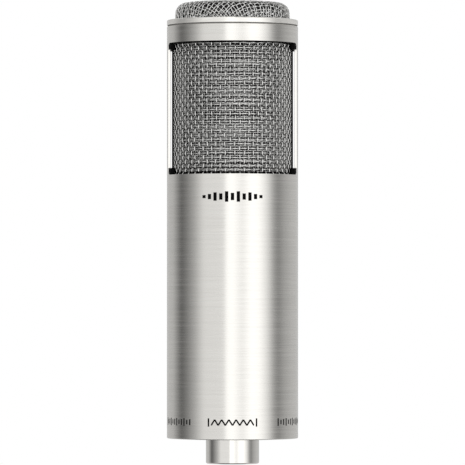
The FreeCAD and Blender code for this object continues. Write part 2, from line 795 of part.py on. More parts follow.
def dome_shell(inset, wall, flange_r=None):
    """A rounded drum of wire cloth, with a flat flange at its foot where one is asked for."""
    outer = dome_face(inset)
    inner = dome_face(inset + wall)
    foot = outer["foot"]
    if flange_r:
        foot = (outer["foot"][0], DOME_FLANGE_TOP)
    edges = [
        line(foot, outer["wall_top"]),
        arc(outer["wall_top"], outer["shoulder"], outer["crown_edge"]),
        arc(outer["crown_edge"], outer["crown_mid"], outer["top"]),
        line(outer["top"], inner["top"]),
        arc(inner["top"], inner["crown_mid"], inner["crown_edge"]),
        arc(inner["crown_edge"], inner["shoulder"], inner["wall_top"]),
        line(inner["wall_top"], inner["foot"]),
    ]
    if flange_r:
        edges.append(line(inner["foot"], (flange_r, DOME_FOOT)))
        edges.append(line((flange_r, DOME_FOOT), (flange_r, DOME_FLANGE_TOP)))
        edges.append(line((flange_r, DOME_FLANGE_TOP), foot))
    else:
        edges.append(line(inner["foot"], foot))
    return turned_edges(edges)


def dome_mesh():
    return dome_shell(0, DOME_WALL, DOME_FLANGE_R)


def dome_lining():
    return dome_shell(DOME_LINING_INSET, LINING_WALL)


def dome_retainer():
    """Ring that pins the dome's flange up against the top ring's lip."""
    outer = COLLAR_R - RING_SKIRT_WALL - RETAINER_PLAY
    return tube(outer, RETAINER_BORE_R, UPPER_COLLAR_TOP, DOME_FOOT)


# ---------------------------------------------------------------- ribbon motor


def motor_foot():
    middle = box(
        (-YOKE_HALF_WIDTH, YOKE_HALF_WIDTH),
        (-YOKE_HALF_DEPTH, YOKE_HALF_DEPTH),
        (FOOT_BOTTOM, YOKE_BOTTOM),
    )
    ears = box(
        (-FOOT_HALF_WIDTH, FOOT_HALF_WIDTH),
        (-FOOT_EAR_HALF_DEPTH, FOOT_EAR_HALF_DEPTH),
        (FOOT_BOTTOM, YOKE_BOTTOM),
    )
    foot = middle.fuse(ears).removeSplitter()
    low = FOOT_BOTTOM - PAST
    high = YOKE_BOTTOM + PAST
    for side in (-1, 1):
        foot = foot.cut(rod(side * BUSHING_X, 0, low, high, BUSHING_SCREW_R + SCREW_PLAY))
        foot = foot.cut(yoke_screw_hole(side))
    return foot


def yoke_screw_hole(side):
    x = side * YOKE_SCREW_X
    return countersunk_hole(x, 0, FOOT_BOTTOM, YOKE_BOTTOM + PAST, BUSHING_SCREW_R)


def yoke_screws():
    tip = APERTURE_BOTTOM - YOKE_SCREW_END
    screws = []
    for side in (-1, 1):
        screws.append(countersunk_screw(side * YOKE_SCREW_X, 0, FOOT_BOTTOM, tip, BUSHING_SCREW_R))
    return screws


def isolation_bushings():
    bushings = []
    for side in (-1, 1):
        x = side * BUSHING_X
        bush = rod(x, 0, DECK_TOP, FOOT_BOTTOM, BUSHING_R)
        bore = rod(x, 0, DECK_TOP - PAST, FOOT_BOTTOM + PAST, BUSHING_SCREW_R + SCREW_PLAY)
        bushings.append(bush.cut(bore))
    return bushings


def bushing_screws():
    screws = []
    head_top = YOKE_BOTTOM + BUSHING_HEAD
    for side in (-1, 1):
        x = side * BUSHING_X
        shank = rod(x, 0, DECK_BOTTOM, YOKE_BOTTOM, BUSHING_SCREW_R)
        head = rod(x, 0, YOKE_BOTTOM, head_top, BUSHING_HEAD_R)
        slot = box(
            (x - BUSHING_HEAD_R - PAST, x + BUSHING_HEAD_R + PAST),
            (-SLOT_HALF_WIDTH, SLOT_HALF_WIDTH),
            (head_top - SLOT_DEPTH, head_top + PAST),
        )
        screws.append(shank.fuse(head).removeSplitter().cut(slot))
    return screws


def motor_yoke():
    """Soft-iron frame round the magnets."""
    frame = box(
        (-YOKE_HALF_WIDTH, YOKE_HALF_WIDTH),
        (-YOKE_HALF_DEPTH, YOKE_HALF_DEPTH),
        (YOKE_BOTTOM, YOKE_TOP),
    )
    inner_x = YOKE_HALF_WIDTH - YOKE_SIDE
    aperture = box(
        (-inner_x, inner_x),
        (-YOKE_HALF_DEPTH - PAST, YOKE_HALF_DEPTH + PAST),
        (APERTURE_BOTTOM, APERTURE_TOP),
    )
    frame = frame.cut(aperture)
    hole_r = BUSHING_SCREW_R + SCREW_PLAY
    hole_top = APERTURE_BOTTOM - YOKE_SCREW_END / 2
    for side in (-1, 1):
        frame = frame.cut(rod(side * YOKE_SCREW_X, 0, YOKE_BOTTOM - PAST, hole_top, hole_r))
    for low, high in ((YOKE_BOTTOM, APERTURE_BOTTOM), (APERTURE_TOP, YOKE_TOP)):
        shank = rod(0, BLOCK_SCREW_Y, low - PAST, high + PAST, CLAMP_SCREW_R + SCREW_PLAY)
        frame = frame.cut(shank)
    for low, high in block_head_spans():
        frame = frame.cut(rod(0, BLOCK_SCREW_Y, low, high, BLOCK_HEAD_R + SCREW_PLAY))
    return frame


def block_head_spans():
    """The (bottom, top) of the sunk heads in the lower and the upper bar."""
    return (YOKE_BOTTOM, YOKE_BOTTOM + BLOCK_HEAD), (YOKE_TOP - BLOCK_HEAD, YOKE_TOP)


def magnet(side):
    inner, outer = MAGNET_INNER_X, MAGNET_INNER_X + MAGNET_THICKNESS
    x_range = (inner, outer) if side > 0 else (-outer, -inner)
    z_range = (MOTOR_CENTRE_Z - MAGNET_HALF_LENGTH, MOTOR_CENTRE_Z + MAGNET_HALF_LENGTH)
    return box(x_range, (-MAGNET_HALF_DEPTH, MAGNET_HALF_DEPTH), z_range)


def pole_piece(side):
    """Iron shoe that tapers towards the ribbon's edge."""
    bottom = MOTOR_CENTRE_Z - MAGNET_HALF_LENGTH
    corners = [
        (MAGNET_INNER_X, -MAGNET_HALF_DEPTH),
        (MAGNET_INNER_X, MAGNET_HALF_DEPTH),
        (GAP_HALF_WIDTH, POLE_TIP_HALF_DEPTH),
        (GAP_HALF_WIDTH, -POLE_TIP_HALF_DEPTH),
    ]
    outline = [vec(side * x, y, bottom) for x, y in corners]
    face = Part.Face(Part.makePolygon(outline + [outline[0]]))
    return face.extrude(vec(0, 0, 2 * MAGNET_HALF_LENGTH))


def clamp_heights():
    """The (bottom, top) of the lower and the upper ribbon clamp."""
    return {
        "lower": (APERTURE_BOTTOM, APERTURE_BOTTOM + CLAMP_HEIGHT),
        "upper": (APERTURE_TOP - CLAMP_HEIGHT, APERTURE_TOP),
    }


def clamp_screw_holes(end):
    """Holes for the two screws that squeeze one end of the ribbon."""
    z = sum(clamp_heights()[end]) / 2
    front = -RIBBON_THICKNESS / 2 - CLAMP_PLATE - PAST
    back = front + PAST + CLAMP_SCREW_LENGTH + SLOT_DEPTH
    hole_r = CLAMP_SCREW_R + SCREW_PLAY
    holes = []
    for side in (-1, 1):
        start = vec(side * CLAMP_SCREW_X, front, z)
        holes.append(Part.makeCylinder(hole_r, back - front, start, vec(0, 1, 0)))
    return holes


def clamp_block(end):
    """Insulating block behind the ribbon's end."""
    half = RIBBON_THICKNESS / 2
    block = box(
        (-CLAMP_HALF_WIDTH, CLAMP_HALF_WIDTH), (half, half + CLAMP_BLOCK_DEPTH), clamp_heights()[end]
    )
    for hole in clamp_screw_holes(end):
        block = block.cut(hole)
    low, high = clamp_heights()[end]
    depth = BLOCK_SCREW_DEPTH + SCREW_PLAY
    span = (low - PAST, low + depth) if end == "lower" else (high - depth, high + PAST)
    return block.cut(rod(0, BLOCK_SCREW_Y, *span, CLAMP_SCREW_R + SCREW_PLAY))


def clamp_plate(end):
    """Brass plate in front of the ribbon's end, with an ear for its lead."""
    half = RIBBON_THICKNESS / 2
    low, high = clamp_heights()[end]
    side = 1 if end == "upper" else -1
    y_range = (-half - CLAMP_PLATE, -half)
    plate_z = (low + CLAMP_PLATE_MARGIN, high - CLAMP_PLATE_MARGIN)
    plate = box((-CLAMP_HALF_WIDTH, CLAMP_HALF_WIDTH), y_range, plate_z)
    ear_x = sorted((0, side * CLAMP_EAR))
    ear = box(ear_x, y_range, (low + CLAMP_EAR_MARGIN, high - CLAMP_EAR_MARGIN))
    plate = plate.fuse(ear).removeSplitter()
    for hole in clamp_screw_holes(end):
        plate = plate.cut(hole)
    return plate


def clamp_screws():
    screws = []
    along_y = vec(0, 1, 0)
    seat_y = -RIBBON_THICKNESS / 2 - CLAMP_PLATE
    front_y = seat_y - CLAMP_HEAD
    for end in ("lower", "upper"):
        z = sum(clamp_heights()[end]) / 2
        for side in (-1, 1):
            x = side * CLAMP_SCREW_X
            shank = Part.makeCylinder(CLAMP_SCREW_R, CLAMP_SCREW_LENGTH, vec(x, seat_y, z), along_y)
            cap = Part.makeCylinder(CLAMP_HEAD_R, CLAMP_HEAD, vec(x, front_y, z), along_y)
            slot = box(
                (x - CLAMP_HEAD_R - PAST, x + CLAMP_HEAD_R + PAST),
                (front_y - PAST, front_y + SLOT_DEPTH),
                (z - SLOT_HALF_WIDTH, z + SLOT_HALF_WIDTH),
            )
            screws.append(cap.fuse(shank).removeSplitter().cut(slot))
    return screws


def block_screws():
    """One screw through each yoke bar into its clamp block, with its head sunk in the bar."""
    lower_head, upper_head = block_head_spans()
    lower_tip = APERTURE_BOTTOM + BLOCK_SCREW_DEPTH
    upper_tip = APERTURE_TOP - BLOCK_SCREW_DEPTH
    lower = rod(0, BLOCK_SCREW_Y, YOKE_BOTTOM, lower_tip, CLAMP_SCREW_R)
    lower = lower.fuse(rod(0, BLOCK_SCREW_Y, *lower_head, BLOCK_HEAD_R))
    upper = rod(0, BLOCK_SCREW_Y, upper_tip, YOKE_TOP, CLAMP_SCREW_R)
    upper = upper.fuse(rod(0, BLOCK_SCREW_Y, *upper_head, BLOCK_HEAD_R))
    return [lower.removeSplitter(), upper.removeSplitter()]


def ribbon_tab(end):
    """The flat end of the foil, held in its clamp."""
    half = RIBBON_THICKNESS / 2
    low, high = clamp_heights()[end]
    z_range = (high - TAB_LENGTH, high) if end == "lower" else (low, low + TAB_LENGTH)
    return box((-RIBBON_HALF_WIDTH, RIBBON_HALF_WIDTH), (-half, half), z_range)


def ribbon():
    """The corrugated foil between the clamps."""
    bottom = clamp_heights()["lower"][1] + RIBBON_END_GAP
    top = clamp_heights()["upper"][0] - RIBBON_END_GAP
    pitch = (top - bottom) / RIBBON_FOLDS
    half_fold = RIBBON_FOLD_DEPTH / 2
    half = RIBBON_THICKNESS / 2
    middle = [(0.0, bottom)]
    for fold in range(RIBBON_FOLDS):
        swing = half_fold if fold % 2 else -half_fold
        middle.append((swing, bottom + (fold + 0.5) * pitch))
    middle.append((0.0, top))
    front = [vec(-RIBBON_HALF_WIDTH, y - half, z) for y, z in middle]
    back = [vec(-RIBBON_HALF_WIDTH, y + half, z) for y, z in reversed(middle)]
    outline = front + back
    face = Part.Face(Part.makePolygon(outline + [outline[0]]))
    return face.extrude(vec(2 * RIBBON_HALF_WIDTH, 0, 0))


# ---------------------------------------------------------------- leads


def ribbon_lead(end):
    """Enamelled wire from a clamp's ear, down in front of the yoke and through the deck."""
    side = 1 if end == "upper" else -1
    x = side * LEAD_X
    z = sum(clamp_heights()[end]) / 2
    plate_y = -RIBBON_THICKNESS / 2 - CLAMP_PLATE
    points = [
        vec(x, plate_y, z),
        vec(x, LEAD_Y + LEAD_LEAN, z),
        vec(x, LEAD_Y, z - LEAD_DROP),
        vec(x, LEAD_Y, WINDING_TOP),
    ]
    return round_wire(points, LEAD_R)


def output_lead_places():
    return [step * OUTPUT_LEAD_SPACING for step in (-1, 0, 1)]


def output_leads():
    """Three insulated wires from the transformer down to the terminal board."""
    leads = []
    for x in output_lead_places():
        leads.append(rod(x, OUTPUT_LEAD_Y, BOARD_BOTTOM, WINDING_BOTTOM, OUTPUT_LEAD_R))
    return leads


# Each node's name, with the function that makes its solid or list of solids.
NODES = {
    "body_tube": body_tube,
    "set_screws": set_screws,
    "base_plate": base_plate,
    "connector_barrel": connector_barrel,
    "barrel_nut": barrel_nut,
    "connector_insert": connector_insert,
    "connector_pin_1": lambda: connector_pin(0),
    "connector_pin_2": lambda: connector_pin(1),
    "connector_pin_3": lambda: connector_pin(2),
    "insert_screw": insert_screw,
    "base_screws": base_screws,
    "lower_standoffs": lower_standoffs,
    "upper_standoffs": upper_standoffs,
    "transformer_shelf": transformer_shelf,
    "motor_deck": motor_deck,
    "deck_screws": deck_screws,
    "lead_grommets": lead_grommets,
    "terminal_board": terminal_board,
    "transformer_can": transformer_can,
    "transformer_core": transformer_core,
    "transformer_winding": transformer_winding,
    "transformer_pads": transformer_pads,
    "transformer_bolt": transformer_bolt,
    "transformer_spacer": transformer_spacer,
    "transformer_nut": transformer_nut,
    "lower_collar": lower_collar,
    "upper_collar": upper_collar,
    "edge_strip_left": lambda: edge_strip(-1),
    "edge_strip_right": lambda: edge_strip(1),
    "grille_mesh": grille_mesh,
    "grille_lining": grille_lining,
    "silk_screen": silk_screen,
    "top_ring": top_ring,
    "seam_gasket": seam_gasket,
    "dome_mesh": dome_mesh,
    "dome_lining": dome_lining,
    "dome_retainer": dome_retainer,
    "motor_foot": motor_foot,
    "yoke_screws": yoke_screws,
    "isolation_bushings": isolation_bushings,
    "bushing_screws": bushing_screws,
    "motor_yoke": motor_yoke,
    "magnet_left": lambda: magnet(-1),
    "magnet_right": lambda: magnet(1),
    "pole_piece_left": lambda: pole_piece(-1),
    "pole_piece_right": lambda: pole_piece(1),
    "clamp_block_lower": lambda: clamp_block("lower"),
    "clamp_block_upper": lambda: clamp_block("upper"),
    "clamp_plate_lower": lambda: clamp_plate("lower"),
    "clamp_plate_upper": lambda: clamp_plate("upper"),
    "clamp_screws": clamp_screws,
    "block_screws": block_screws,
    "ribbon_tab_lower": lambda: ribbon_tab("lower"),
    "ribbon_tab_upper": lambda: ribbon_tab("upper"),
    "ribbon": ribbon,
    "ribbon_lead_lower": lambda: ribbon_lead("lower"),
    "ribbon_lead_upper": lambda: ribbon_lead("upper"),
    "output_leads": output_leads,
}


def main():
    os.makedirs("parts", exist_ok=True)
    for name, make in NODES.items():
        made = make()
        solids = made if isinstance(made, list) else [made]
        for solid in solids:
            if not solid.isValid() or len(solid.Solids) != 1:
                raise ValueError(f"{name}: not one valid solid")
        shape = solids[0].Solids[0] if len(solids) == 1 else Part.makeCompound(solids)
        shape.exportStep(f"parts/{name}.step")
        print(f"{name}: {shape.Volume / 1000:.3f} cm3")


main()
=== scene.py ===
"""Looks for the ribbon microphone: woven wire, brushed metal, marks, light, floor and camera."""

import json
import math

import bpy
import numpy as np
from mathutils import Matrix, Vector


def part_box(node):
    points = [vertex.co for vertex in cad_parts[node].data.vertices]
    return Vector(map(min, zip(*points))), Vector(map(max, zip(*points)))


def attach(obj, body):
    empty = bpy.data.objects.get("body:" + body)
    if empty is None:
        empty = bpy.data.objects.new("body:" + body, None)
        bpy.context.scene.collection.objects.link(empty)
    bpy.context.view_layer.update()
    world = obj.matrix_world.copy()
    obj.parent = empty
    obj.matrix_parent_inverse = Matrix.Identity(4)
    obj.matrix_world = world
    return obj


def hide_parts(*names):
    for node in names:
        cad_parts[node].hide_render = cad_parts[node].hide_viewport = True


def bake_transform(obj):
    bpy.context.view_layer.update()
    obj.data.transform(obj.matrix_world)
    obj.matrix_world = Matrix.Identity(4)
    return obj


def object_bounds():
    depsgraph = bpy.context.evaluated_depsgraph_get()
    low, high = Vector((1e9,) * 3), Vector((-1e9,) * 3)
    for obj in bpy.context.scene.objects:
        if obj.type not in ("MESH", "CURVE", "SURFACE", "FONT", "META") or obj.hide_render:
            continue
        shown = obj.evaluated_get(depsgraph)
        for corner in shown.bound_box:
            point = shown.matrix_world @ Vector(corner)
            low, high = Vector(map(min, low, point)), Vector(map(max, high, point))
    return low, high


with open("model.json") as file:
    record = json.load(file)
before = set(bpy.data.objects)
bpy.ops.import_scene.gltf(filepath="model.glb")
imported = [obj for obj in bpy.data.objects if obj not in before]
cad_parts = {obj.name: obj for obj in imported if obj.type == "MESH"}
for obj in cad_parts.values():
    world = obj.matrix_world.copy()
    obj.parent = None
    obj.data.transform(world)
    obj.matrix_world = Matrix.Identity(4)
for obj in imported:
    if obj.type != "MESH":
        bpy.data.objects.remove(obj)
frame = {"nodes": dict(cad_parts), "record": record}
cad_low, cad_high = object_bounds()

MM = 0.001

# --- Camera: in front, a little below mid-height, looking slightly up
CAMERA_DISTANCE = 1.720
CAMERA_HEIGHT = 0.0654
CAMERA_TARGET_HEIGHT = 0.0894
CAMERA_LENS = 343.7
CAMERA_SENSOR = 36.0
NEAR_CLIP = 0.05
FAR_CLIP = 20

# --- Studio. Its walls as seen from the microphone: (degrees round from the camera to the right, level)
STUDIO_WALLS = [
    (-180, 0.60),
    (-128, 0.52),
    (-114, 0.30),
    (-102, 0.12),
    (-88, 0.24),
    (-70, 0.48),
    (-52, 0.86),
    (-13.5, 0.88),
    (-11.5, 1.34),
    (0, 1.38),
    (17, 1.06),
    (34, 1.42),
    (50, 1.30),
    (64, 0.92),
    (78, 0.40),
    (88, 0.26),
    (104, 0.42),
    (128, 0.54),
    (180, 0.60),
]
# The walls give way to what lies above and below them between these sines of the angle from the horizon.
WALL_END = 0.80
END_START = 0.94
# What lies above and below the walls: (sine of the angle above the horizon, level)
STUDIO_ENDS = [(-1, 0.10), (-0.3, 0.12), (0.3, 0.22), (1, 0.30)]
WHITE = (1.0, 1.0, 1.0, 1.0)

# --- Floor
FLOOR_RADIUS = 0.3
FLOOR_GAP = 0.02 * MM  # keeps the floor's face apart from the rim that stands on it
FLOOR_CORNERS = 96

# --- Woven wire
COARSE_WIRE_R = 0.215 * MM
COARSE_COLUMN = 1.80 * MM
COARSE_ROW = 1.67 * MM
COARSE_WANDER = 0.15  # how far a wire strays sideways, in pitches
HOOP_WANDER = 0.7  # how much a hoop strays along its way, against how far the whole hoop is off
UPRIGHT_CRIMP = 1.5  # how far an upright wire bends in and out, in wire radii
CREST_FLATNESS = 2.0  # how long a wire stays out, or in, at each crossing
WANDER_SIZES = (0.2, 0.6)  # the least and the most that one wave of a wire's straying adds
OPEN_WANDER_WAVES = (1.0, 2.3, 4.1)
ROUND_WANDER_WAVES = (2, 5, 9)
FINE_UPRIGHT_R = 0.14 * MM
FINE_HOOP_R = 0.19 * MM
FINE_COLUMN = 1.02 * MM
FINE_ROW = 0.87 * MM
FINE_WANDER = 0.24
DOME_PITCH = 1.45 * MM
DOME_WIRE_R = 0.17 * MM
DOME_FINE_PITCH = 0.9 * MM
DOME_FINE_WIRE_R = 0.15 * MM
DOME_WANDER = 0.3
LINING_PAST_STRIP = 1.65 * MM  # the lining stops at the collars, this far past the edge strips
LAYER_GAP = 0.02 * MM
GRILLE_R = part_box("grille_mesh")[1].x
UPRIGHT_DEPTH = 2 * UPRIGHT_CRIMP * COARSE_WIRE_R  # how far below GRILLE_R the uprights' outer side dips
HOOP_OUTER_R = GRILLE_R - 2 * (UPRIGHT_CRIMP - 1) * COARSE_WIRE_R
HOOP_DEPTH = 2 * (2 - UPRIGHT_CRIMP) * COARSE_WIRE_R
# Painted shade: the coarse wires' colour is darkened in the weave's hollows, down to these levels against
# their crests.
UPRIGHT_HOLLOW_LEVEL = 0.28  # how bright the coarse wires' hollows are, against their crests
HOOP_HOLLOW_LEVEL = 0.62

# --- Dome, from its pole to its foot, as (radius, height)
DOME_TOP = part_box("dome_mesh")[1].z
DOME_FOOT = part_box("dome_mesh")[0].z
DOME_CROWN_EDGE = (18.0 * MM, DOME_TOP - 0.55 * MM)
DOME_SHOULDER = (20.9 * MM, DOME_TOP - 1.75 * MM)
DOME_WALL_TOP = (22.15 * MM, DOME_TOP - 4.25 * MM)
DOME_BASE_R = 22.5 * MM
DOME_WEAVE_TURN = math.radians(36)
CROWN_STEPS = 40
SHOULDER_STEPS = 30
DOME_WALL_STEPS = 20
NORMAL_SMOOTHINGS = 6  # rounds that even out the outline's directions where its parts meet

# --- Finishes
NICKEL = (0.80, 0.785, 0.75)
STEEL = (0.56, 0.56, 0.57)
BRIGHT_WIRE = (1.0, 0.99, 0.95)
NOISE_SPAN = (0.3, 0.7)  # where most of a noise's values lie
ROUND_Z = (0.03, 0.03, 1.0)  # a stretch that draws a noise out into lines round the Z axis
BRUSH_STRETCH = (0.02, 0.02, 1.0)
BRUSH_DEPTH = 0.004 * MM
QUARTER_TURN = 0.25  # of a whole turn

# --- Ribbon and sock
RIBBON_HALF_WAVES = 40
HALF_WAVE_STEPS = 8
RIBBON_SWING = 0.2 * MM
FOIL_HALF_THICKNESS = 0.02 * MM
SOCK_EDGE_R = 1.5 * MM
SOCK_SLACK = 0.12 * MM
SOCK_SEAM = 0.25 * MM
SOCK_SEAM_WIDTH = 0.8 * MM
SOCK_FOLDS = 9
SOCK_FOLD_LEAN = 2.0  # how far round a fold turns between the sock's foot and its top, in radians of a fold
SOCK_FINE_FOLDS = 17
SOCK_FINE_SHARE = 0.4
SOCK_TURNS = 128
SOCK_WALL_STEPS = 60
SOCK_EDGE_STEPS = 6
SOCK_LID_STEPS = 12

# --- Printed marks. Their heights are above the rim that the microphone stands on. The rest is in
# millimetres, round the tube from its front or up from the mark's own middle.
MARK_PROUD = 0.015 * MM
MARK_STEP = 0.5
TOP_MARK_HEIGHT = 102.8 * MM
LOW_MARK_HEIGHT = 16.5 * MM
WAVE_BARS = (1.2, 2.0, 3.2, 2.4, 4.0, 2.8, 4.0, 2.4, 3.2, 2.0, 1.2)
WAVE_BAR_WIDTH = 1.3
WAVE_BAR_PITCH = 2.25
ZIGZAG_HALF = 8.3
ZIGZAG_TURNS = 12
ZIGZAG_HEIGHT = 2.2
END_BAR_PLACE = 9.4
END_BAR_HEIGHT = 3.2
FINE_STROKE = 0.6
SIDE_TICKS = ((-34.8, -17.8), (19.3, 36.7))
SIDE_TICK_COUNT = 12
SIDE_TICK_HEIGHTS = (2.9, 1.7, 2.3)

rng = np.random.default_rng(11)


# ---------------------------------------------------------------- nodes of materials and of the world


def add_node(tree, kind, inputs=None, **settings):
    """A new node. Each input gets a plain value or another node's output."""
    node = tree.nodes.new(kind)
    for name, value in settings.items():
        setattr(node, name, value)
    for place, value in (inputs or {}).items():
        if isinstance(value, bpy.types.NodeSocket):
            tree.links.new(value, node.inputs[place])
        else:
            node.inputs[place].default_value = value
    return node


def maths(tree, operation, *values):
    """Carries out one operation on plain values or other nodes' outputs."""
    return add_node(tree, "ShaderNodeMath", dict(enumerate(values)), operation=operation).outputs[0]


def map_range(tree, value, low, high, low_out=0.0, high_out=1.0, **settings):
    """Carries a value from between low and high to between low_out and high_out."""
    inputs = {
        "Value": value, "From Min": low, "From Max": high, "To Min": low_out, "To Max": high_out
    }
    return add_node(tree, "ShaderNodeMapRange", inputs, **settings).outputs[0]


def mix_colours(tree, share, first, second, **settings):
    """Goes from the first colour to the second as share rises."""
    inputs = {"Factor": share, "A": first, "B": second}
    return add_node(tree, "ShaderNodeMix", inputs, data_type="RGBA", **settings).outputs["Result"]


def mix_shaders(tree, share, first, second):
    """Goes from the first shader to the second as share rises."""
    return add_node(tree, "ShaderNodeMixShader", {0: share, 1: first, 2: second}).outputs[0]


# ---------------------------------------------------------------- camera, light and floor


def make_camera():
    """A long lens in front of the microphone, level from side to side."""
    data = bpy.data.cameras.new("camera")
    data.lens = CAMERA_LENS
    data.sensor_width = CAMERA_SENSOR
    data.clip_start = NEAR_CLIP
    data.clip_end = FAR_CLIP
    camera = bpy.data.objects.new("camera", data)
    camera.location = (0, -CAMERA_DISTANCE, CAMERA_HEIGHT)
    rise = CAMERA_TARGET_HEIGHT - CAMERA_HEIGHT
    camera.rotation_euler = (math.pi / 2 + math.atan2(rise, CAMERA_DISTANCE), 0, 0)
    bpy.context.scene.collection.objects.link(camera)
    bpy.context.scene.camera = camera


def level_ramp(tree, value, low, high, stops):
    """Light levels along a value that runs from low to high. stops are (value, level)."""
    ramp = add_node(tree, "ShaderNodeValToRGB", {0: map_range(tree, value, low, high)})
    elements = ramp.color_ramp.elements
    for index, (at, level) in enumerate(stops):
        place = (at - low) / (high - low)
        element = elements[index] if index < 2 else elements.new(place)
        element.position = place
        element.color = (level, level, level, 1)
    return ramp.outputs["Color"]


def make_studio():
    """A world of soft panels all round, dim above and below. The camera itself sees plain white."""
    world = bpy.data.worlds.new("studio")
    bpy.context.scene.world = world
    world.use_nodes = True
    tree = world.node_tree
    tree.nodes.clear()
    direction = add_node(tree, "ShaderNodeTexCoord").outputs["Generated"]
    split = add_node(tree, "ShaderNodeSeparateXYZ", {0: direction}).outputs
    azimuth = maths(tree, "ARCTAN2", split["X"], maths(tree, "MULTIPLY", split["Y"], -1.0))
    wall_stops = [(math.radians(degrees), level) for degrees, level in STUDIO_WALLS]
    walls = level_ramp(tree, azimuth, -math.pi, math.pi, wall_stops)
    ends = level_ramp(tree, split["Z"], -1, 1, STUDIO_ENDS)
    steepness = maths(tree, "ABSOLUTE", split["Z"])
    end_share = map_range(tree, steepness, WALL_END, END_START, interpolation_type="SMOOTHSTEP")
    panels = mix_colours(tree, end_share, walls, ends)
    light = add_node(tree, "ShaderNodeBackground", {"Color": panels}).outputs[0]
    plain = add_node(tree, "ShaderNodeBackground", {"Color": WHITE}).outputs[0]
    seen_directly = add_node(tree, "ShaderNodeLightPath").outputs["Is Camera Ray"]
    surroundings = mix_shaders(tree, seen_directly, light, plain)
    add_node(tree, "ShaderNodeOutputWorld", {"Surface": surroundings})


def make_floor():
    """A plain pale disc under the microphone."""
    angles = [2 * math.pi * i / FLOOR_CORNERS for i in range(FLOOR_CORNERS)]
    ring = [(FLOOR_RADIUS * math.cos(a), FLOOR_RADIUS * math.sin(a), 0.0) for a in angles]
    mesh = bpy.data.meshes.new("floor")
    mesh.from_pydata(ring, [], [range(FLOOR_CORNERS)])
    floor = bpy.data.objects.new("floor", mesh)
    floor.location.z = cad_low.z - FLOOR_GAP
    bpy.context.scene.collection.objects.link(floor)
    floor.data.materials.append(floor_paint())


# ---------------------------------------------------------------- materials


def principled(name):
    """A new material, its tree and its shader."""
    material = bpy.data.materials.new(name)
    material.use_nodes = True
    return material, material.node_tree, material.node_tree.nodes["Principled BSDF"]


def noise(tree, scale, stretch, detail=3.0):
    """Noise in the object's own space. A small stretch value draws it out along that axis."""
    place = add_node(tree, "ShaderNodeTexCoord").outputs["Object"]
    mapped = add_node(tree, "ShaderNodeMapping", {"Vector": place, "Scale": stretch}).outputs[0]
    inputs = {"Vector": mapped, "Scale": scale, "Detail": detail}
    return add_node(tree, "ShaderNodeTexNoise", inputs).outputs["Fac"]


def colours(tree, shader, fac, dark, light):
    """Base colour from dark to light as the noise rises."""
    tree.links.new(mix_colours(tree, fac, (*dark, 1), (*light, 1)), shader.inputs["Base Color"])


def roughness(tree, shader, fac, low, high):
    tree.links.new(map_range(tree, fac, *NOISE_SPAN, low, high), shader.inputs["Roughness"])


def bump(tree, shader, fac, distance):
    relief = add_node(tree, "ShaderNodeBump", {"Strength": 1.0, "Distance": distance, "Height": fac})
    tree.links.new(relief.outputs[0], shader.inputs["Normal"])


def scaled(colour, factor):
    """The colour made brighter or darker, no brighter than full."""
    return tuple(min(1.0, channel * factor) for channel in colour)


def surface(name, colour, metallic, rough, vary=0.12, scale=900, stretch=(1, 1, 1), depth=0.0,
            shine=0.5):
    """A finish whose colour, roughness and relief all follow one noise."""
    material, tree, shader = principled(name)
    fac = noise(tree, scale, stretch)
    colours(tree, shader, fac, scaled(colour, 1 - vary), scaled(colour, 1 + vary))
    roughness(tree, shader, fac, rough * 0.85, rough * 1.15)
    shader.inputs["Metallic"].default_value = metallic
    shader.inputs["Specular IOR Level"].default_value = shine
    if depth:
        bump(tree, shader, fac, depth)
    return material


def hollow_shaded_wire(name, colour, rough, vary, scale, outer_r, depth, hollow):
    """Wire of a round basket with painted shade: full colour at its outer radius, painted darker down to
    depth below it, where the wire lies in the weave's hollows.
    """
    material = surface(name, colour, 1.0, rough, vary, scale)
    tree = material.node_tree
    base = tree.nodes["Principled BSDF"].inputs["Base Color"]
    place = add_node(tree, "ShaderNodeTexCoord").outputs["Object"]
    flat = add_node(tree, "ShaderNodeVectorMath", {0: place, 1: (1, 1, 0)}, operation="MULTIPLY")
    distance = add_node(tree, "ShaderNodeVectorMath", {0: flat.outputs["Vector"]}, operation="LENGTH")
    # painted shade: the colour falls from full at outer_r to the hollow level at depth below it
    level = map_range(tree, distance.outputs["Value"], outer_r - depth, outer_r, hollow, 1.0)
    shaded = mix_colours(tree, 1.0, base.links[0].from_socket, level, blend_type="MULTIPLY")
    tree.links.new(shaded, base)
    return material


def turned_metal(name, colour, rough, anisotropy, vary, lines, metallic=1.0):
    """Metal brushed round the Z axis: fine lines of uneven brightness and width."""
    material, tree, shader = principled(name)
    fine = noise(tree, lines, BRUSH_STRETCH, detail=4.0)
    colours(tree, shader, fine, scaled(colour, 1 - vary), scaled(colour, 1 + vary))
    roughness(tree, shader, fine, rough * 0.8, rough * 1.2)
    bump(tree, shader, fine, BRUSH_DEPTH)
    shader.inputs["Metallic"].default_value = metallic
    shader.inputs["Anisotropic"].default_value = anisotropy
    shader.inputs["Anisotropic Rotation"].default_value = QUARTER_TURN
    round_axis = add_node(tree, "ShaderNodeTangent", direction_type="RADIAL", axis="Z")
    tree.links.new(round_axis.outputs[0], shader.inputs["Tangent"])
    return material


def floor_paint():
    """Plain white to the camera, clear to the metal's reflections, and pale grey to everything else."""
    material = surface("floor_paint", (0.8, 0.8, 0.8), 0.0, 0.8, vary=0.02, scale=30)
    tree = material.node_tree
    path = add_node(tree, "ShaderNodeLightPath").outputs
    white = add_node(tree, "ShaderNodeEmission", {"Color": WHITE}).outputs[0]
    paint = tree.nodes["Principled BSDF"].outputs[0]
    seen = mix_shaders(tree, path["Is Camera Ray"], paint, white)
    clear = add_node(tree, "ShaderNodeBsdfTransparent").outputs[0]
    mirrored = mix_shaders(tree, path["Is Glossy Ray"], seen, clear)
    tree.links.new(mirrored, tree.nodes["Material Output"].inputs["Surface"])
    return material


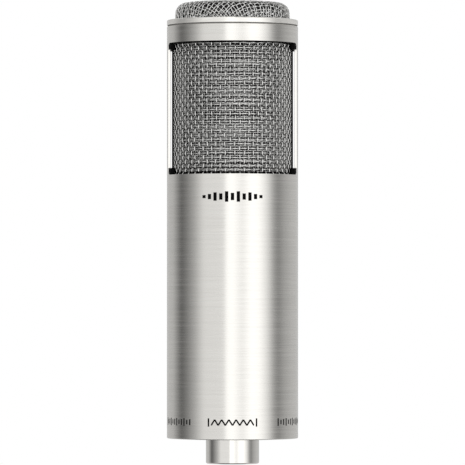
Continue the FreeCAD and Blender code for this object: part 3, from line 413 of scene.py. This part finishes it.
def cloth(name):
    """Thin dark woven cloth with a slight sheen."""
    material, tree, shader = principled(name)
    fac = noise(tree, 5000, (1, 1, 1))
    colours(tree, shader, fac, (0.018, 0.018, 0.018), (0.045, 0.045, 0.045))
    roughness(tree, shader, fac, 0.8, 0.95)
    shader.inputs["Sheen Weight"].default_value = 0.15
    bump(tree, shader, fac, 0.05 * MM)
    return material


# Each material slot of the record, with what makes its finish. The last few are for pieces
# that differ a little from the rest of their slot. After the colour come, for surface(), how metallic
# and how rough it is, the spread of its brightness and the noise's scale, and for turned_metal(), how
# rough and how anisotropic it is, the spread of its brightness and the scale of its lines.
FINISHES = {
    "satin_nickel": lambda n: turned_metal(n, NICKEL, 0.27, 0.75, 0.16, 2000),
    "bright_nickel": lambda n: turned_metal(n, scaled(NICKEL, 1.05), 0.13, 0.5, 0.08, 3000),
    "screw_steel": lambda n: surface(n, STEEL, 1.0, 0.32, 0.1, 2500),
    "plated_brass": lambda n: surface(n, (0.78, 0.62, 0.33), 1.0, 0.3, 0.1, 2500, ROUND_Z),
    "black_plastic": lambda n: surface(n, (0.02, 0.02, 0.021), 0.0, 0.45, 0.3, 4000, depth=0.01 * MM),
    "contact_gold": lambda n: surface(n, (0.9, 0.68, 0.3), 1.0, 0.2, 0.06, 3000),
    "chassis_aluminium": lambda n: surface(n, (0.72, 0.72, 0.73), 1.0, 0.35, 0.08, 3000),
    "black_rubber": lambda n: surface(n, (0.018, 0.018, 0.018), 0.0, 0.75, 0.3, 3000, depth=0.02 * MM),
    "circuit_board": lambda n: surface(n, (0.05, 0.17, 0.08), 0.0, 0.3, 0.2, 1500),
    "screening_metal": lambda n: surface(n, (0.6, 0.59, 0.57), 1.0, 0.42, 0.08, 1200),
    "core_iron": lambda n: surface(n, (0.3, 0.3, 0.32), 1.0, 0.4, 0.15, 6000, ROUND_Z),
    "copper_wire": lambda n: surface(n, (0.75, 0.33, 0.16), 1.0, 0.35, 0.25, 3500, depth=0.1 * MM),
    "black_collar": lambda n: surface(
        n, (0.003, 0.003, 0.003), 0.0, 0.6, 0.3, 3000, depth=0.01 * MM, shine=0.04
    ),
    "grille_wire": lambda n: surface(n, (0.95, 0.94, 0.90), 1.0, 0.1, 0.3, 1800),
    "lining_wire": lambda n: surface(n, (0.07, 0.069, 0.066), 1.0, 0.2, 0.5, 2600),
    "screen_cloth": cloth,
    "soft_iron": lambda n: surface(n, (0.45, 0.45, 0.46), 1.0, 0.4, 0.12, 2500),
    "magnet_plating": lambda n: surface(n, (0.78, 0.78, 0.78), 1.0, 0.15, 0.04, 1500),
    "clamp_insulator": lambda n: surface(n, (0.22, 0.1, 0.04), 0.0, 0.5, 0.25, 2500, (1, 1, 6)),
    "clamp_brass": lambda n: surface(n, (0.85, 0.64, 0.3), 1.0, 0.28, 0.08, 3000),
    "ribbon_foil": lambda n: surface(n, (0.9, 0.9, 0.91), 1.0, 0.22, 0.06, 4000, depth=0.01 * MM),
    "lead_enamel": lambda n: surface(n, (0.45, 0.06, 0.03), 0.0, 0.25, 0.15, 3000),
    "lead_sleeve": lambda n: surface(n, (0.72, 0.7, 0.62), 0.0, 0.45, 0.08, 3000),
    # Painted highlight: a brighter, partly diffuse copy of the nickel for the top ring, standing in for the
    # brighter light the ring catches.
    "lit_ring_nickel": lambda n: turned_metal(n, scaled(NICKEL, 1.15), 0.24, 0.6, 0.08, 3000, 0.6),
    "seam_rubber": lambda n: surface(n, (0.14, 0.138, 0.134), 0.0, 0.7, 0.2, 3000),
    # the coarse grille's wires, with painted shade in the weave's hollows
    "grille_uprights": lambda n: hollow_shaded_wire(
        n, BRIGHT_WIRE, 0.14, 0.1, 1800, GRILLE_R, UPRIGHT_DEPTH, UPRIGHT_HOLLOW_LEVEL
    ),
    "grille_hoops": lambda n: hollow_shaded_wire(
        n, BRIGHT_WIRE, 0.1, 0.2, 1800, HOOP_OUTER_R, HOOP_DEPTH, HOOP_HOLLOW_LEVEL
    ),
    "lining_uprights": lambda n: surface(n, (0.95, 0.94, 0.90), 1.0, 0.14, 0.3, 2600),
    "lining_hoops": lambda n: surface(n, BRIGHT_WIRE, 1.0, 0.10, 0.3, 2600),
}

# The CAD nodes that don't have the finish of their slot. The top ring's is a painted highlight: a brighter
# copy of the nickel.
OWN_FINISHES = {"top_ring": "lit_ring_nickel", "seam_gasket": "seam_rubber"}


def paint_cad_nodes(materials):
    """Gives each CAD node the finish of its slot, or its own."""
    for part in frame["record"]["subparts"]:
        node = frame["nodes"][part["node"]]
        finish = OWN_FINISHES.get(part["node"], part["material_slot"])
        node.data.materials.clear()
        node.data.materials.append(materials[finish])


# ---------------------------------------------------------------- wires


def unit(vectors):
    """The vectors, each made one long."""
    return vectors / np.linalg.norm(vectors, axis=-1, keepdims=True)


def add_piece(name, vertices, faces, slot, materials, finish=None, body="housing"):
    """A smooth mesh that rides a body. Its finish is its slot's own unless another is named."""
    mesh = bpy.data.meshes.new(name)
    mesh.from_pydata(vertices, [], faces)
    mesh.polygons.foreach_set("use_smooth", np.ones(len(mesh.polygons), bool))
    mesh.materials.append(materials[finish or slot])
    mesh.update()
    piece = bpy.data.objects.new(name, mesh)
    bpy.context.scene.collection.objects.link(piece)
    if body:
        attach(piece, body)
    return piece


def wire_surface(points, normals, radius, sides, closed):
    """Vertices and faces of round wires. points and normals are (wires, steps, 3) arrays."""
    wires, steps, _ = points.shape
    ahead = np.roll(points, -1, axis=1)
    behind = np.roll(points, 1, axis=1)
    if not closed:
        ahead[:, -1] = points[:, -1]
        behind[:, 0] = points[:, 0]
    along = unit(ahead - behind)
    across = unit(np.cross(along, normals))
    outward = np.cross(across, along)
    angles = np.arange(sides) * 2 * math.pi / sides
    ring = (
        np.cos(angles)[:, None] * outward[:, :, None] + np.sin(angles)[:, None] * across[:, :, None]
    )
    vertices = (points[:, :, None] + radius * ring).reshape(-1, 3)
    index = np.arange(wires * steps * sides).reshape(wires, steps, sides)
    here = index if closed else index[:, :-1]
    there = np.roll(index, -1, axis=1) if closed else index[:, 1:]
    quads = np.stack(
        [here, there, np.roll(there, -1, axis=2), np.roll(here, -1, axis=2)], axis=-1
    )
    faces = quads.reshape(-1, 4).tolist()
    if not closed:
        faces += index[:, 0].tolist()
        faces += index[:, -1, ::-1].tolist()
    return vertices.tolist(), faces


def drift(wires, along, waves):
    """A slow random drift for each wire, within about 1 either way. along runs from 0 to 1."""
    total = np.zeros((wires, len(along)))
    for count in waves:
        phase = rng.uniform(0, 2 * math.pi, (wires, 1))
        size = rng.uniform(*WANDER_SIZES, (wires, 1))
        total += size * np.sin(2 * math.pi * count * along + phase)
    return total


def wander(wires, steps):
    """Drift for wires with two ends."""
    return drift(wires, np.linspace(0, 1, steps), OPEN_WANDER_WAVES)


def round_wander(wires, steps):
    """Drift for wires that close on themselves."""
    return drift(wires, np.arange(steps) / steps, ROUND_WANDER_WAVES)


def polar(radius, angle, height):
    """Points and outward normals round the Z axis."""
    radius, angle, height = np.broadcast_arrays(radius, angle, height)
    normals = np.stack([np.cos(angle), np.sin(angle), np.zeros_like(angle)], axis=-1)
    points = normals * radius[..., None]
    points[..., 2] = height
    return points, normals


def crest(phase):
    """A wave between -1 and 1 with flattened crests."""
    return np.tanh(CREST_FLATNESS * np.cos(phase)) / math.tanh(CREST_FLATNESS)


def cylinder_weave(radius, bottom, top, column_pitch, row_pitch, mean_r, stray, per_cell):
    """Points and normals of the uprights and of the hoops of a plain weave on a cylinder.

    mean_r is the mean radius of the wires, and per_cell how many steps a wire takes per crossing.
    """
    columns = 2 * round(math.pi * radius / column_pitch)
    rows = round((top - bottom) / row_pitch) + 1
    row_pitch = (top - bottom) / (rows - 1)
    turn = 2 * math.pi / columns

    steps = (rows - 1) * per_cell + 1
    row = np.linspace(0, rows - 1, steps)[None]
    column = np.arange(columns)[:, None]
    sway = stray * wander(columns, steps)
    upright_r = radius + UPRIGHT_CRIMP * mean_r * crest(math.pi * (row + column))
    uprights = polar(upright_r, (column + sway) * turn, bottom + row * row_pitch)

    steps = columns * per_cell
    column = (np.arange(steps) / per_cell)[None]
    row = np.arange(rows)[:, None]
    lift = stray * (rng.uniform(-1, 1, (rows, 1)) + HOOP_WANDER * round_wander(rows, steps))
    hoop_r = radius - (2 - UPRIGHT_CRIMP) * mean_r * crest(math.pi * (row + column))
    hoops = polar(hoop_r, column * turn, bottom + (row + lift) * row_pitch)
    return uprights, hoops


def make_basket_layer(
    name, node, slot, materials, *, radius, bottom, top, column, row, sizes, stray, per_cell, sides
):
    """A woven layer of the basket, as one piece of uprights and one of hoops. sizes are their radii."""
    mean_r = sum(sizes) / 2
    families = cylinder_weave(radius, bottom, top, column, row, mean_r, stray, per_cell)
    for label, wires, wire_r in zip(("uprights", "hoops"), families, sizes):
        finish = f"{name}_{label}"
        vertices, faces = wire_surface(*wires, wire_r, sides, closed=label == "hoops")
        piece = add_piece(finish, vertices, faces, slot, materials, finish)
        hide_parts(node)


def make_grille(materials):
    """Coarse woven basket with a finer one inside it."""
    low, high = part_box("grille_mesh")
    strip_low, strip_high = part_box("edge_strip_left")
    coarse_depth = (1 + UPRIGHT_CRIMP) * COARSE_WIRE_R
    fine_depth = (1 + UPRIGHT_CRIMP) * (FINE_UPRIGHT_R + FINE_HOOP_R) / 2
    make_basket_layer(
        "grille", "grille_mesh", "grille_wire", materials,
        radius=high.x - coarse_depth,
        bottom=low.z + COARSE_WIRE_R,
        top=high.z - COARSE_WIRE_R,
        column=COARSE_COLUMN,
        row=COARSE_ROW,
        sizes=(COARSE_WIRE_R, COARSE_WIRE_R),
        stray=COARSE_WANDER,
        per_cell=6,
        sides=5,
    )
    make_basket_layer(
        "lining", "grille_lining", "lining_wire", materials,
        radius=high.x - 2 * coarse_depth - LAYER_GAP - fine_depth,
        bottom=strip_low.z - LINING_PAST_STRIP,
        top=strip_high.z + LINING_PAST_STRIP,
        column=FINE_COLUMN,
        row=FINE_ROW,
        sizes=(FINE_UPRIGHT_R, FINE_HOOP_R),
        stray=FINE_WANDER,
        per_cell=3,
        sides=4,
    )


# ---------------------------------------------------------------- dome


def arc_points(start, middle, end, steps):
    """Points along the circle through three (radius, height) points."""
    (ax, ay), (bx, by), (cx, cy) = start, middle, end
    d = 2 * (ax * (by - cy) + bx * (cy - ay) + cx * (ay - by))
    a2, b2, c2 = ax * ax + ay * ay, bx * bx + by * by, cx * cx + cy * cy
    centre_x = (a2 * (by - cy) + b2 * (cy - ay) + c2 * (ay - by)) / d
    centre_y = (a2 * (cx - bx) + b2 * (ax - cx) + c2 * (bx - ax)) / d
    first = math.atan2(ay - centre_y, ax - centre_x)
    last = math.atan2(cy - centre_y, cx - centre_x)
    size = math.hypot(ax - centre_x, ay - centre_y)
    angles = np.linspace(first, last, steps)
    return np.stack([centre_x + size * np.cos(angles), centre_y + size * np.sin(angles)], axis=-1)


def dome_profile(inset):
    """The dome's outline from pole to foot, inset along its own normal, with the normals."""
    rise = DOME_TOP - DOME_CROWN_EDGE[1]
    crown_r = (DOME_CROWN_EDGE[0] ** 2 + rise ** 2) / (2 * rise)
    radii = np.linspace(0, DOME_CROWN_EDGE[0], CROWN_STEPS)
    crown = np.stack([radii, DOME_TOP - crown_r + np.sqrt(crown_r ** 2 - radii ** 2)], axis=-1)
    shoulder = arc_points(DOME_CROWN_EDGE, DOME_SHOULDER, DOME_WALL_TOP, SHOULDER_STEPS)
    down = np.linspace(0, 1, DOME_WALL_STEPS)[:, None]
    foot = (DOME_BASE_R, DOME_FOOT + 2 * DOME_WIRE_R)
    wall = (1 - down) * np.array(DOME_WALL_TOP) + down * np.array(foot)
    outline = np.concatenate([crown, shoulder[1:], wall[1:]])
    slope = unit(np.gradient(outline, axis=0))
    for _ in range(NORMAL_SMOOTHINGS):
        slope[1:-1] = unit(slope[:-2] + slope[1:-1] + slope[2:])
    normals = np.stack([-slope[:, 1], slope[:, 0]], axis=-1)
    return outline - inset * normals, normals


def press(flat, lift, profile, normals):
    """Lays flat (x, y) points over the dome by their distance from the pole, raised by lift."""
    lengths = np.concatenate([[0], np.cumsum(np.linalg.norm(np.diff(profile, axis=0), axis=1))])
    distance = np.linalg.norm(flat, axis=-1)
    angle = np.arctan2(flat[..., 1], flat[..., 0])
    radial = np.interp(distance, lengths, normals[:, 0])
    upward = np.interp(distance, lengths, normals[:, 1])
    radius = np.interp(distance, lengths, profile[:, 0]) + lift * radial
    height = np.interp(distance, lengths, profile[:, 1]) + lift * upward
    points, outward = polar(radius, angle, height)
    outward = outward * radial[..., None]
    outward[..., 2] = upward
    return points, outward


def dome_weave(inset, pitch, wire_r, per_cell, turn):
    """The two families of wires of a flat woven disc pressed over the dome."""
    profile, normals = dome_profile(inset)
    reach = np.linalg.norm(np.diff(profile, axis=0), axis=1).sum()
    half = math.floor(reach / pitch)
    cos, sin = math.cos(turn), math.sin(turn)
    families = []
    for family in (0, 1):
        batch = []
        for wire in range(-half, half + 1):
            offset = wire * pitch
            end = math.sqrt(max(reach ** 2 - offset ** 2, 0))
            steps = max(2, round(2 * end / pitch * per_cell))
            along = np.linspace(-end, end, steps)
            across = offset + pitch * DOME_WANDER * wander(1, steps)[0]
            sign = 1 if family == 0 else -1
            lift = sign * wire_r * np.cos(math.pi * (along / pitch + wire))
            flat = np.stack([along, across] if family == 0 else [across, along], axis=-1)
            flat = flat @ np.array([[cos, sin], [-sin, cos]])
            batch.append(press(flat, lift, profile, normals))
        families.append(batch)
    return families


def make_dome_layer(name, node, slot, materials, *, inset, pitch, wire_r, per_cell, sides):
    """A woven layer of the dome, as one piece for each of its two families of wires."""
    families = dome_weave(inset, pitch, wire_r, per_cell, DOME_WEAVE_TURN)
    for label, batch in zip(("warp", "weft"), families):
        vertices, faces = [], []
        for points, normals in batch:
            if len(points) < 3:  # a stub at the disc's edge
                continue
            more, quads = wire_surface(points[None], normals[None], wire_r, sides, closed=False)
            start = len(vertices)
            vertices += more
            faces += [[start + i for i in face] for face in quads]
        piece = add_piece(f"{name}_{label}", vertices, faces, slot, materials)
        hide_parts(node)


def make_dome(materials):
    """Coarse woven cap with a finer one inside it."""
    make_dome_layer(
        "dome", "dome_mesh", "grille_wire", materials,
        inset=2 * DOME_WIRE_R,
        pitch=DOME_PITCH,
        wire_r=DOME_WIRE_R,
        per_cell=4,
        sides=6,
    )
    make_dome_layer(
        "dome_lining", "dome_lining", "lining_wire", materials,
        inset=4 * DOME_WIRE_R + 2 * DOME_FINE_WIRE_R + LAYER_GAP,
        pitch=DOME_FINE_PITCH,
        wire_r=DOME_FINE_WIRE_R,
        per_cell=2,
        sides=4,
    )


# ---------------------------------------------------------------- ribbon and sock


def band(points, across, outward, half_width, half_thickness):
    """Vertices and faces of a flat strip that follows points."""
    sides = [(-1, -1), (1, -1), (1, 1), (-1, 1)]
    corners = [points + x * half_width * across + y * half_thickness * outward for x, y in sides]
    vertices = np.stack(corners, axis=1).reshape(-1, 3)
    index = np.arange(len(points) * 4).reshape(-1, 4)
    here, there = index[:-1], index[1:]
    quads = np.stack([here, np.roll(here, -1, 1), np.roll(there, -1, 1), there], axis=-1)
    faces = quads.reshape(-1, 4).tolist() + [index[0, ::-1].tolist(), index[-1].tolist()]
    return vertices.tolist(), faces


def make_ribbon(materials):
    """Corrugated foil in two halves, each running from its clamp to the middle, where they meet."""
    low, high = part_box("ribbon")
    middle = (low.z + high.z) / 2
    half_waves = RIBBON_HALF_WAVES // 2
    steps = half_waves * HALF_WAVE_STEPS + 1
    phase = np.linspace(0, half_waves * math.pi, steps)
    for name, end, side in (("ribbon_lower_half", low.z, 1), ("ribbon_upper_half", high.z, -1)):
        heights = np.linspace(end, middle, steps)
        points = np.stack(
            [np.zeros(steps), side * RIBBON_SWING * np.sin(phase), heights], axis=-1
        )
        along = unit(np.gradient(points, axis=0)) * side
        across = np.tile([1.0, 0.0, 0.0], (steps, 1))
        outward = np.cross(across, along)
        vertices, faces = band(points, across, outward, high.x, FOIL_HALF_THICKNESS)
        if side < 0:
            faces = [face[::-1] for face in faces]
        piece = add_piece(name, vertices, faces, "ribbon_foil", materials, body=None)
        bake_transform(piece)
        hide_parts("ribbon")


def make_sock(materials):
    """Thin cloth sock over the motor: a slack wall with a seam at the back, and a flat top."""
    low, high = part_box("silk_screen")
    radius = high.x - SOCK_SLACK - SOCK_SEAM
    top = high.z - SOCK_SLACK
    angles = np.arange(SOCK_TURNS) * 2 * math.pi / SOCK_TURNS
    edge = np.linspace(0, math.pi / 2, SOCK_EDGE_STEPS)
    wall = np.linspace(low.z, top - SOCK_EDGE_R, SOCK_WALL_STEPS)[:-1]
    lid = np.linspace(radius - SOCK_EDGE_R, 0, SOCK_LID_STEPS)[1:-1]
    radii = np.concatenate(
        [np.full(len(wall), radius), radius - SOCK_EDGE_R * (1 - np.cos(edge)), lid]
    )
    heights = np.concatenate(
        [wall, top - SOCK_EDGE_R * (1 - np.sin(edge)), np.full(len(lid), top)]
    )
    rise = (heights - low.z)[:, None] / (top - low.z)
    folds = np.sin(SOCK_FOLDS * angles + SOCK_FOLD_LEAN * rise) * np.sin(math.pi * rise)
    folds = folds + SOCK_FINE_SHARE * np.sin(SOCK_FINE_FOLDS * angles)
    seam = np.exp(-((angles - math.pi / 2) * radius / SOCK_SEAM_WIDTH) ** 2)
    lift = SOCK_SLACK * folds / (1 + SOCK_FINE_SHARE) + SOCK_SEAM * seam
    spread = (radii / radius)[:, None]
    points, _ = polar(radii[:, None] + lift * spread, angles[None], heights[:, None])
    vertices = points.reshape(-1, 3).tolist() + [[0.0, 0.0, top]]
    index = np.arange(len(radii) * SOCK_TURNS).reshape(len(radii), SOCK_TURNS)
    here, there = index[:-1], index[1:]
    quads = np.stack([here, np.roll(here, -1, 1), np.roll(there, -1, 1), there], axis=-1)
    faces = quads.reshape(-1, 4).tolist()
    last = index[-1]
    faces += [[a, b, len(vertices) - 1] for a, b in zip(last.tolist(), np.roll(last, -1).tolist())]
    piece = add_piece("motor_sock", vertices, faces, "screen_cloth", materials)
    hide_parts("silk_screen")


# ---------------------------------------------------------------- marks


def stroke(start, end, width, height):
    """A printed stroke on the tube from start to end, as (round, up) points in millimetres."""
    tube_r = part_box("body_tube")[1].x
    start, end = np.array(start), np.array(end)
    steps = max(2, math.ceil(np.linalg.norm(end - start) / MARK_STEP) + 1)
    flat = start + np.linspace(0, 1, steps)[:, None] * (end - start)
    angle = flat[:, 0] * MM / tube_r - math.pi / 2
    points, normals = polar(tube_r, angle, height + flat[:, 1] * MM)
    across = unit(np.cross(unit(np.gradient(points, axis=0)), normals))
    return band(points, across, normals, width * MM / 2, MARK_PROUD)


def make_mark(name, strokes, height, materials):
    """One piece of printed strokes, each a start, an end and a width."""
    vertices, faces = [], []
    for start, end, width in strokes:
        more, quads = stroke(start, end, width, height)
        faces += [[len(vertices) + i for i in face] for face in quads]
        vertices += more
    add_piece(name, vertices, faces, "black_collar", materials)


def bar(place, tall, width):
    """An upright stroke."""
    return (place, -tall / 2), (place, tall / 2), width


def make_marks(materials):
    """Plain signs: a sound wave above, a folded ribbon below, and rows of ticks at its sides."""
    middle = (len(WAVE_BARS) - 1) / 2
    wave = [
        bar((index - middle) * WAVE_BAR_PITCH, tall, WAVE_BAR_WIDTH)
        for index, tall in enumerate(WAVE_BARS)
    ]
    make_mark("wave_mark", wave, TOP_MARK_HEIGHT, materials)
    places = np.linspace(-ZIGZAG_HALF, ZIGZAG_HALF, ZIGZAG_TURNS + 1).tolist()
    turns = [
        (place, (index % 2 - 0.5) * ZIGZAG_HEIGHT) for index, place in enumerate(places)
    ]
    folded = [(a, b, FINE_STROKE) for a, b in zip(turns[:-1], turns[1:])]
    folded += [bar(side * END_BAR_PLACE, END_BAR_HEIGHT, FINE_STROKE) for side in (-1, 1)]
    make_mark("ribbon_mark", folded, LOW_MARK_HEIGHT, materials)
    for name, (start, end) in zip(("left_ticks", "right_ticks"), SIDE_TICKS):
        places = np.linspace(start, end, SIDE_TICK_COUNT).tolist()
        heights = SIDE_TICK_HEIGHTS * SIDE_TICK_COUNT
        ticks = [bar(place, tall, FINE_STROKE) for place, tall in zip(places, heights)]
        make_mark(name, ticks, LOW_MARK_HEIGHT, materials)


# ---------------------------------------------------------------- main


make_camera()
make_studio()
make_floor()
materials = {slot: finish(slot) for slot, finish in FINISHES.items()}
paint_cad_nodes(materials)
make_grille(materials)
make_dome(materials)
make_ribbon(materials)
make_sock(materials)
make_marks(materials)

bpy.context.scene.view_settings.view_transform = "Standard"
